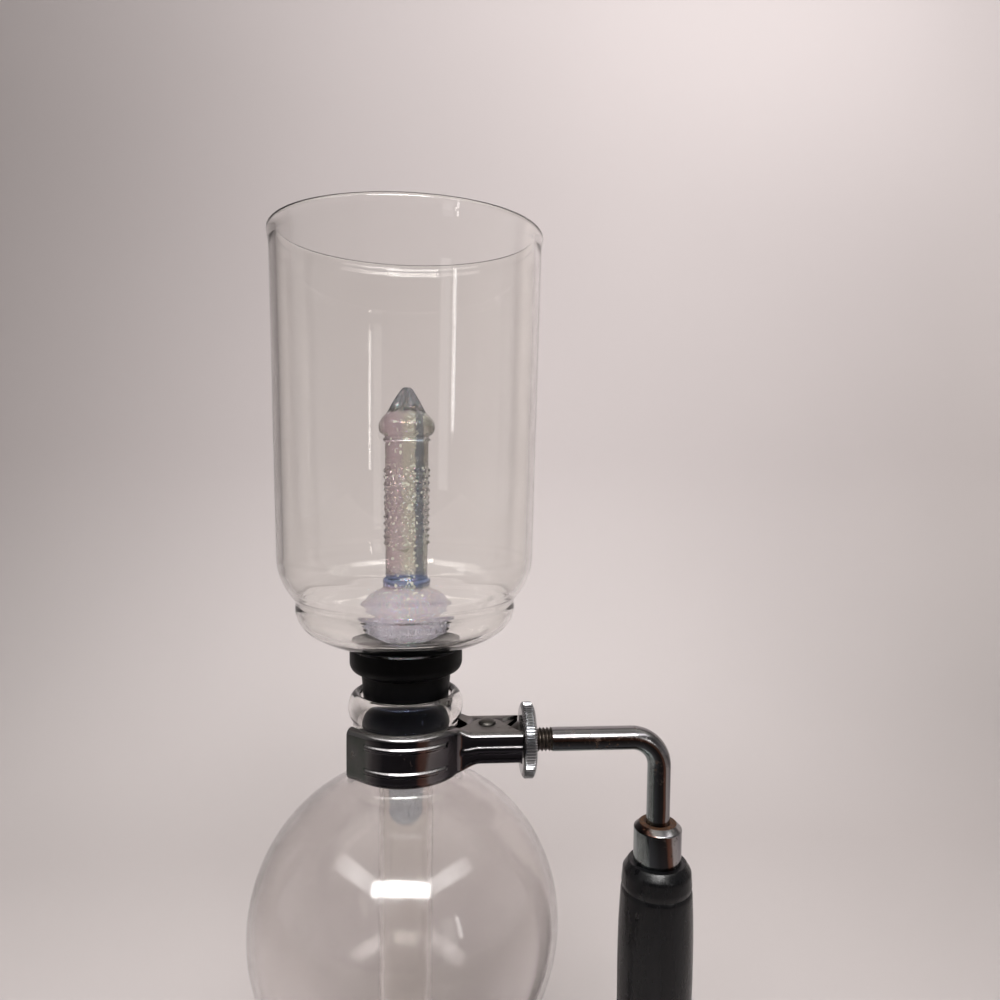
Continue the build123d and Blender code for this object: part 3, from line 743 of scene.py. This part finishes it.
def jaw_skin(station, drop, depth):
    """Points across one skin of the sheet, from the lower flange over the wall to the upper; depth is 0 outside."""
    here, out, inner, angle = station
    roll, flange_steps, fold_steps, wall_steps = 2.2, 12, 7, 44
    r, shoulder = roll - depth, here - out * roll
    bottom = BAND_LOW + 3.8 * smooth_step(14.6, 24.5, here.x)
    top = BAND_HIGH - 2.6 * smooth_step(14.2, 22.0, here.x)
    middle, sag = (bottom + top) / 2 - 0.3, drop * smooth_step(22.0, 24.0, here.x)
    points = [(inner.lerp(shoulder, k / flange_steps), bottom + depth + sag) for k in range(flange_steps + 1)]
    for k in range(1, fold_steps):
        a = pi / 2 * (k / fold_steps - 1)
        points.append((shoulder + out * r * cos(a), bottom + roll + r * sin(a) + sag * (1 - k / fold_steps)))
    for k in range(wall_steps + 1):
        level = bottom + roll + (top - bottom - 2 * roll) * k / wall_steps
        raised = pressed(here.x, angle, level - BAND_LOW, level - middle)
        points.append((here + out * (raised - depth), level))
    for k in range(1, fold_steps):
        a = pi / 2 * k / fold_steps
        points.append((shoulder + out * r * cos(a), top - roll + r * sin(a)))
    for k in range(flange_steps + 1):
        t = k / flange_steps
        points.append((shoulder.lerp(inner, t), top - depth - sag * smooth_step(0.12, 0.42, t)))
    return [(p.x, p.y, z) for p, z in points]


def jaw_shape(drop):
    """One jaw as a pressed sheet: ribbed band, creased tail, rolled edges and the flanges over the arm.

    drop lowers the upper flange towards the arm, for the jaw whose flange lies under the other's.
    """
    stations = jaw_stations()
    rows = [jaw_skin(station, drop, depth) for depth in (0.0, SHEET) for station in stations]
    across = len(rows[0])
    half = len(stations) * across
    faces = []
    for i in range(len(stations) - 1):
        for j in range(across - 1):
            a, b = i * across + j, (i + 1) * across + j
            faces += [(a, a + 1, b + 1, b), (half + a, half + b, half + b + 1, half + a + 1)]
        for a in (i * across, (i + 1) * across - 1):
            faces.append((a, a + across, half + a + across, half + a))
    for first in (0, half - across):
        faces += [(a, a + 1, half + a + 1, half + a) for a in range(first, first + across - 1)]
    return [v for row in rows for v in row], faces


def jaws():
    """Both jaws: chromed outside, duller where the sheet lies flat over the arm."""
    under = 1.25
    vertices, faces = jaw_shape(under)
    mirrored = [(x, -y, z) for x, y, z in vertices]
    for side, shape in (("front", jaw_shape(0.0)), ("rear", (mirrored, faces))):
        made = piece(f"{side}_jaw_sheet", shape, [CLAMP_CHROME, CLAMP_DULL], f"jaw_{side}", [f"{side}_jaw"],
                     48.0)
        paint(made, lambda c, n: abs(n.z) > 0.94, 1)


def rivet():
    """Rivet with a low dome at both ends."""
    bottom, top = span("pivot_rivet", Z)
    head_r, shank_r, head = 2.95, 1.98, 1.4
    dome = below(top, [(0, 0), (1.2, 0.1), (2.1, 0.4), (2.7, 0.85), (head_r, head)])
    foot = [(r, bottom + top - z) for r, z in reversed(dome)]
    profile = outline(through(dome), [(shank_r, top - head), (shank_r, bottom + head)], through(foot))
    piece("rivet_steel", lathed(profile, 64, (RIVET_X, 0.0)), DARK_STEEL, "stand", ["pivot_rivet"])


def thrust_cone():
    """Cone that the nut pushes between the jaws' tails."""
    start, end = span("clamp_cone", X)
    bore, small, large = 4.08, 4.4, 6.0
    points = [(bore, start), (small, start), (large, end - 0.8), (large, end), (bore, end)]
    shape = along_arm(lathed(softened(points, 0.15, 3), 96, closed=True))
    piece("cone_steel", shape, DARK_STEEL, "thrust_cone", ["clamp_cone"])


def clamp_nut():
    """Thin nut with a knurled edge; its profile is (radius, x, share of the knurl's depth)."""
    (start, end), outer, bore = span("knurled_nut", X), high("knurled_nut", Y), 4.06
    teeth, per_tooth, depth, groove_half = 76, 8, 0.62, 0.38
    profile = [(bore + 0.35, start, 0), (bore, start + 0.35, 0), (bore, end - 0.35, 0), (bore + 0.35, end, 0),
               (6.1, end, 0), (6.3, end - 0.22, 0), (10.2, end - 0.22, 0), (10.4, end, 0), (11.0, end, 0.0),
               (11.9, end - 0.42, 0.5), (outer - 0.12, end - 0.74, 1.0), (outer, end - 0.92, 1.0),
               (outer, start + 0.92, 1.0), (outer - 0.12, start + 0.74, 1.0), (11.9, start + 0.42, 0.5),
               (11.0, start, 0.0), (6.4, start, 0)]
    vertices, turns = [], teeth * per_tooth
    for radius, x, knurl in profile:
        for k in range(turns):
            phase = (k % per_tooth) / per_tooth
            groove = max(0.0, 1.0 - abs(phase - 0.5) / groove_half)
            r = radius - depth * knurl * groove
            angle = TURN * k / turns
            vertices.append((x, r * cos(angle), ARM_Z + r * sin(angle)))
    faces = hoops(len(profile), turns, closed=True)
    piece("nut_knurled", (vertices, faces), NUT_CHROME, "nut", ["knurled_nut"], 24.0)


# ---- arm, collar and handle
THREAD_START = RIVET_X + 9.4


def arm():
    """Bent rod with its rolled thread."""
    rod_r, bend_r, pitch, depth, fine = 4.0, 10.0, 1.25, 0.62, 0.0625
    thread_end, foot = 49.5, low("arm_rod", Z)
    around, straights, bends = 72, 12, 24
    count = int((thread_end + 0.6 - THREAD_START) / fine)
    path = [(THREAD_START + fine * k, ARM_Z, 1.0, 0.0) for k in range(count + 1)]
    bend_x, bend_z = POLE_X - bend_r, ARM_Z - bend_r
    path += [(*p, 1.0, 0.0) for p in straight(path[-1][:2], (bend_x, ARM_Z), straights)[1:]]
    for a in (pi / 2 * k / bends for k in range(1, bends + 1)):
        path.append((bend_x + bend_r * sin(a), bend_z + bend_r * cos(a), cos(a), -sin(a)))
    path += [(*p, 0.0, -1.0) for p in straight((POLE_X, bend_z), (POLE_X, foot), straights)[1:]]
    vertices = []
    for i, (x, z, ax, az) in enumerate(path):
        for k in range(around):
            angle = TURN * k / around
            cut = 0.0
            if i <= count:
                phase = (x / pitch - k / around) % 1.0
                fade = min(1.0, (x - THREAD_START) / 0.5, max(0.0, (thread_end - x) / 0.9))
                cut = depth * max(0.0, fade) * min(1.0, 1.25 * (1 - abs(2 * phase - 1)))
            r = rod_r - cut
            side, up = r * cos(angle), r * sin(angle)
            vertices.append((x - az * up, side, z + ax * up))
    faces = hoops(len(path), around) + [lid(0, around), lid(len(path) - 1, around)]
    made = piece("arm_bent_rod", (vertices, faces), [ROD_CHROME, THREAD], "stand", ["arm_rod"], 40.0)
    paint(made, lambda c, n: c.x < thread_end - 0.3 and c.z > ARM_Z - 6, 1)


def arm_eye():
    """Flattened eye of the arm between the jaws."""
    eye_r, half_thick, half_wide, bevel = 4.8, 1.5, 3.2, 0.35
    join = 180 - degrees(asin(half_wide / eye_r))
    plan = arc((RIVET_X, 0.0), eye_r, 180 - join, 180 + join, 48)
    plan += [(THREAD_START + 0.5, -half_wide), (THREAD_START + 0.5, half_wide)]
    levels = [(-half_thick, bevel), (bevel - half_thick, 0.0), (half_thick - bevel, 0.0), (half_thick, bevel)]
    middle = Vector((RIVET_X + 2.0, 0.0))
    vertices = []
    for level, inset in levels:
        for p in plan:
            inward = (middle - Vector(p)).normalized() * inset
            vertices.append((p[0] + inward.x, p[1] + inward.y, ARM_Z + level))
    count = len(plan)
    faces = hoops(len(levels), count) + [lid(0, count), lid(len(levels) - 1, count)]
    piece("arm_eye", (vertices, faces), DARK_STEEL, "stand", [], 40.0)


def collar():
    """Chamfered collar on the handle, with a rusty top."""
    (bottom, top), outer = span("handle_collar", Z), high("handle_collar", Y)
    points = [(4.03, bottom), (outer, bottom), (outer, top - 1.9), (6.2, top), (4.35, top - 0.1), (4.03, top - 0.5)]
    shape = lathed(softened(points, [0.1, 0.3, 0.35, 0.25, 0.1, 0.1], 4), 128, (POLE_X, 0.0), closed=True)
    made = piece("collar_turned", shape, [ROD_CHROME, RUST], "stand", ["handle_collar"], 30.0)
    paint(made, lambda c, n: c.z > top - 0.32, 1)


def handle():
    """Moulded grip that swells in the middle."""
    bottom, top = span("handle", Z)
    bore, skin_r = 4.04, 9.0
    side = below(top, [(11.75, 2.9), (12.3, 10), (12.9, 24), (13, 40), (12.7, 62), (12, 84)])
    side += [(11.65, bottom + 1.6)]
    profile = outline(
        [(bore, top), (9.7, top)], arc((9.7, top - 0.4), 0.4, 90, 40, 4), [(11.5, top - 2.4)], through(side, 6),
        arc((10.7, bottom + 1.0), 1.0, 0, -90, 6), [(5.05, bottom), (5.05, bottom + 26.0), (bore, bottom + 27.0)])

    def seam(angle, radius, height):
        """Fine parting line of the mould, and two shallow rings for the grip."""
        if radius < skin_r:
            return 0.0
        line = 0.09 * exp(-(((angle + 0.02) % pi - 0.02) / 0.012) ** 2)
        rings = sum(exp(-(((height - level) / 0.7) ** 2)) for level in (top - 9.0, bottom + 9.0))
        return line - 0.45 * rings

    dense = densed(profile, lambda a, b: max(1, int(abs(a[1] - b[1]) / 0.6)) if min(a[0], b[0]) > skin_r else 1)
    shape = lathed(dense, 160, (POLE_X, 0.0), closed=True, shift=seam)
    piece("handle_grip", shape, PLASTIC, "stand", ["handle"], 35.0)


def ferrule():
    """Ring at the handle's lower end."""
    (bottom, top), outer = span("handle_ferrule", Z), high("handle_ferrule", Y)
    points = [(5.04, bottom), (8.0, bottom), (outer, bottom + 2.2), (outer, top), (5.04, top)]
    shape = lathed(softened(points, [0.2, 0.6, 0.8, 0.4, 0.2], 5), 128, (POLE_X, 0.0), closed=True)
    piece("ferrule_turned", shape, ROD_CHROME, "stand", ["handle_ferrule"], 30.0)


# ---- base
def keyhole(inset, level, steps=72):
    """Points of the base's outline, moved inwards by inset: the hull of its two circles."""
    big, small = high("base_plate", Y), high("base_plate", X) - POLE_X
    lean = asin((big - small) / POLE_X)
    half = pi / 2 - lean
    made = []
    for middle, radius, start, sweep, count in ((0.0, big, half, TURN - 2 * half, steps),
                                                (POLE_X, small, -half, 2 * half, steps // 3)):
        for k in range(count + 1):
            a = start + sweep * k / count
            made.append((middle + (radius - inset) * cos(a), (radius - inset) * sin(a), level))
    return made


def base():
    """Pressed plate, open underneath, with a raised rim and a groove."""
    bottom, top = span("base_plate", Z)
    sheet = 1.2
    section = [(0.25, bottom), (0.0, bottom + 0.3)] + below(top, [
        (0, 3.4), (0.25, 2.1), (0.9, 0.95), (1.9, 0.25), (3.2, 0), (6.6, 0), (7.3, 0.12), (7.9, 0.5), (8.5, 0.62),
        (9.2, 0.62), (9.8, 0.5), (10.4, 0.12), (11.1, 0), (16, 0)])
    inside = below(top, [(16, sheet), (3.3, sheet), (2, sheet + 0.5), (1.35, sheet + 1.7), (1.2, 3.8)])
    inside += [(1.2, bottom + 0.3), (0.95, bottom)]
    rings = [keyhole(inset, level) for inset, level in section + inside]
    count, crown = len(rings[0]), len(section) - 1
    vertices = [v for ring in rings for v in ring]
    faces = hoops(len(rings), count, closed=True, skip=crown) + [lid(crown, count), lid(crown + 1, count)]
    piece("base_pressed_plate", (vertices, faces), BASE_CHROME, "stand", ["base_plate"], 40.0)


def pole():
    """Upright with its shoulder on the plate and its stud below."""
    (bottom, top), plate = span("stand_pole", Z), high("base_plate", Z)
    points = [(0.0, bottom), (3.6, bottom), (4.0, bottom + 0.4), (4.0, plate + 0.02), (6.9, plate + 0.02),
              (6.9, plate + 1.1), (6.3, plate + 1.7), (5.0, plate + 1.75), (5.0, top - 0.6), (4.4, top), (0.0, top)]
    shape = lathed(softened(points, 0.15, 3, closed=False), 96, (POLE_X, 0.0))
    piece("pole_rod", shape, ROD_CHROME, "stand", ["stand_pole"], 30.0)


# ---- burner
BURNER_NECK = 13.0


def burner_bowl():
    """Squat glass bowl for the spirit."""
    (floor, top), belly = span("burner_bowl", Z), high("burner_bowl", X)
    neck, wall = BURNER_NECK, 2.5
    outside = above(floor, [
        (22.5, 0), (27.5, 1.2), (31.6, 4.6), (belly - 0.3, 10.5), (belly - 0.1, 16.5), (31.6, 24), (26, 30.2),
        (19, 33.8), (14.6, 35.6), (neck, 37.3)])
    inside = below(top, [
        (neck - wall, 4.6), (12.2, 7.6), (17.4, 9.9), (24.4, 13.4), (29.3, 18.4), (31.4, 25), (31.3, 30),
        (29.2, 35), (25, 37.6), (20, 38.2)])
    profile = outline(above(floor, [(0, 0.9), (14, 0.8), (19.5, 0.1)]), through(outside),
                      [(neck, top - 0.4), (neck - 0.4, top), (neck - wall + 0.4, top), (neck - wall, top - 0.4)],
                      through(inside), [(0.0, top - 38.0)])
    piece("burner_glass", lathed(profile, 160), GLASS, "burner", ["burner_bowl"], 50.0)


def burner_collar():
    """Screw collar with the wick's tube through it."""
    low_edge, plate, tip = high("burner_gasket", Z) - 4.6, high("burner_gasket", Z) + 1.2, high("burner_collar", Z)
    bore, tube_r, inner, skirt, sheet, teeth = 3.92, 5.0, BURNER_NECK + 0.1, 14.8, 1.2, 90
    points = [(bore, low_edge - 2.6), (tube_r, low_edge - 2.6), (tube_r, plate - sheet), (inner, plate - sheet),
              (inner, low_edge), (skirt, low_edge), (skirt, plate), (5.6, plate), (tube_r, plate + 0.6), (tube_r, tip),
              (bore, tip)]
    radii = [0.1, 0.1, 0.1, 0.1, 0.2, 0.35, 0.7, 0.3, 0.3, 0.3, 0.1]

    def milled(angle, radius, height):
        """Straight milling round the collar's skirt."""
        if radius < skirt - 0.2 or not low_edge + 0.8 < height < plate - 0.8:
            return 0.0
        return -0.22 * (0.5 + 0.5 * sin(teeth * angle))

    dense = densed(softened(points, radii, 4),
                   lambda a, b: 6 if min(a[0], b[0]) > skirt - 0.3 and abs(a[1] - b[1]) > 2 else 1)
    shape = lathed(dense, 4 * teeth, closed=True, shift=milled)
    piece("burner_screw_collar", shape, BASE_CHROME, "burner", ["burner_collar"], 35.0)


def wick():
    """Plaited cotton."""
    (bottom, top), wick_r, strands, twist = span("wick", Z), 3.8, 16, 1.7

    def twisted(angle, radius, height):
        """Strands that cross both ways round."""
        if radius < 2:
            return 0.0
        return -0.16 * (0.5 + 0.5 * cos(strands * angle / 2 + height * twist) * cos(
            strands * angle / 2 - height * twist))

    crown = [(wick_r, top - 1.2), (wick_r - 0.5, top - 0.35), (2.2, top - 0.05), (0.0, top)]
    profile = outline([(0.0, bottom), (wick_r - 0.5, bottom), (wick_r, bottom + 0.6)],
                      straight((wick_r, bottom + 0.6), crown[0], 110), through(crown, 5))
    piece("wick_plaited", lathed(profile, 96, shift=twisted), COTTON, "burner", ["wick"], 60.0)


def burner_cap():
    """Spun snuffer cap."""
    (mouth, crown), outer, wall = span("burner_cap", Z), high("burner_cap", X), 1.1
    inner = outer - wall
    shell = below(crown, [(outer, 5), (outer - 0.7, 2.6), (outer - 3.2, 0.8), (outer - 7.5, 0.1), (0, 0)])
    hollow = below(crown, [(0, wall), (outer - 7.7, wall + 0.1), (outer - 3.9, wall + 0.9), (inner - 0.6, 3.6),
                           (inner, 5.4)])
    profile = outline(
        through(shell, 6)[::-1], straight(shell[0], (outer, mouth + 1.9), 5),
        [(outer, mouth + 1.2), (outer, mouth + 0.3), (outer - 0.3, mouth), (inner + 0.2, mouth)],
        straight((inner, mouth + 0.3), hollow[-1], 5), through(hollow, 6)[::-1])
    piece("cap_spun", lathed(profile, 128), BASE_CHROME, "cap", ["burner_cap"], 40.0)


for build in (chamber, stopper, filter_rod, flask, jaws, rivet, thrust_cone, clamp_nut, arm, arm_eye, collar, handle,
              ferrule, base, pole, burner_bowl, burner_collar, wick, burner_cap):
    build()
# CAD nodes that stay in view get their material here
for node, made_of in (("base_sole", RUBBER), ("burner_gasket", RUBBER), ("base_washer", ZINC), ("base_nut", ZINC),
                      ("handle_sleeve", ZINC)):
    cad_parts[node].data.materials.clear()
    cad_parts[node].data.materials.append(made_of)


# ---- floor, cove, light and camera
def cove():
    """Pale floor that curves up into a wall behind the object, as one sheet."""
    wall_y, bend, height, half_width, front = 0.62, 0.3, 2.2, 2.6, -2.2
    run = [(front, 0.0), (-0.6, 0.0), (0.0, 0.0)]
    run += arc((wall_y - bend, bend), bend, -90, 0, 24)
    run += [(wall_y, 1.2), (wall_y, height)]
    columns = 8
    stride = columns + 1
    vertices = [(-half_width + 2 * half_width * c / columns, y, z - 0.0002) for y, z in run for c in range(stride)]
    corners = [i * stride + c for i in range(len(run) - 1) for c in range(columns)]
    faces = [(a, a + 1, a + 1 + stride, a + stride) for a in corners]
    placed("floor_cove", smooth_mesh("floor_cove", vertices, faces, [paper()]))


def softbox(name, place, aim, size, power, colour=(1, 1, 1), spread=180.0):
    """Rectangular area light at place, aimed; metres and watts. A small spread is a gridded box."""
    light = bpy.data.lights.new(name, "AREA")
    light.shape, light.energy, light.color, light.spread = "RECTANGLE", power, colour, radians(spread)
    light.size, light.size_y = size
    made = placed(name, light)
    made.location = place
    made.rotation_mode = "QUATERNION"
    made.rotation_quaternion = (Vector(aim) - Vector(place)).to_track_quat("-Z", "Y")


def lights():
    """Gridded strips over the camera, backdrop washes, narrow boxes for streaks on the glass, and a pale room."""
    middle = (0.02, 0.0, 0.21)
    away = 1.06 * 0.71
    for name, turn, power in (("key", -4.0, 2.1), ("key_left", -52.0, 0.24), ("key_right", 46.0, 0.24)):
        place = (middle[0] + away * sin(radians(turn)), -away * cos(radians(turn)), middle[2] + away)
        softbox(name, place, middle, (0.8, 0.2), power, (1.0, 0.985, 0.97), 62.0)
    softbox("backdrop_wash", (0.5, -0.45, 1.05), (0.24, 0.62, 0.8), (0.8, 0.4), 4.3, (1.0, 0.965, 0.955), 85.0)
    softbox("side_wash_right", (1.25, -0.1, 0.75), (1.15, 0.62, 0.4), (0.5, 0.5), 1.6, (1.0, 0.97, 0.9), 70.0)
    softbox("side_wash_left", (-1.35, -0.1, 0.75), (-1.3, 0.62, 0.4), (0.5, 0.5), 0.8, (1.0, 0.98, 0.93), 60.0)
    softbox("streak", (0.56, -0.66, 0.405), (0.0, 0.0, 0.33), (0.028, 0.21), 0.14, (1.0, 0.99, 0.97))
    softbox("streak_wide", (0.46, -0.72, 0.37), (0.0, 0.0, 0.31), (0.12, 0.3), 0.1, (1.0, 0.99, 0.97))
    world = bpy.data.worlds.new("studio")
    bpy.context.scene.world = world
    room = Look(world, {"Strength": 0.8}, "Background")
    facing = room.split(room.where("Generated"))
    shade = room.ramp(facing["Z"], (0.0, (0.5, 0.47, 0.46)), (0.22, (0.4, 0.38, 0.37)), (0.5, (0.2, 0.19, 0.18)),
                      (0.8, (0.7, 0.69, 0.62)), (1.0, (0.9, 0.88, 0.8)))
    dim_front = room.ramp(room.map_range(facing["Y"], -1.0, 1.0), (0.1, 0.22), (0.5, 1.0))
    room.feed("Color", room.mix(1.0, shade, dim_front, "MULTIPLY"))


def camera():
    """Camera close in front of the clamp, a little below the rim, as a hand-held picture is taken."""
    distance, side, below_rim = 259.65, 10.08, 69.2
    heading, pitch, roll = radians(4.563), radians(3.569), radians(0.569)
    data = bpy.data.cameras.new("camera")
    data.sensor_width, data.lens, data.clip_start, data.clip_end = 36.0, 28.28, 0.01, 20.0
    ahead = Vector((sin(heading) * cos(pitch), cos(heading) * cos(pitch), -sin(pitch)))
    right = Vector((cos(heading), -sin(heading), 0.0))
    turned = Matrix((right, right.cross(ahead), -ahead)).transposed() @ Matrix.Rotation(roll, 3, "Z")
    made = placed("camera", data)
    made.matrix_world = Matrix.Translation(Vector((side, -distance, RIM - below_rim)) * MM) @ turned.to_4x4()
    bpy.context.scene.camera = made


cove()
lights()
camera()
bpy.context.scene.view_settings.view_transform = "Standard"
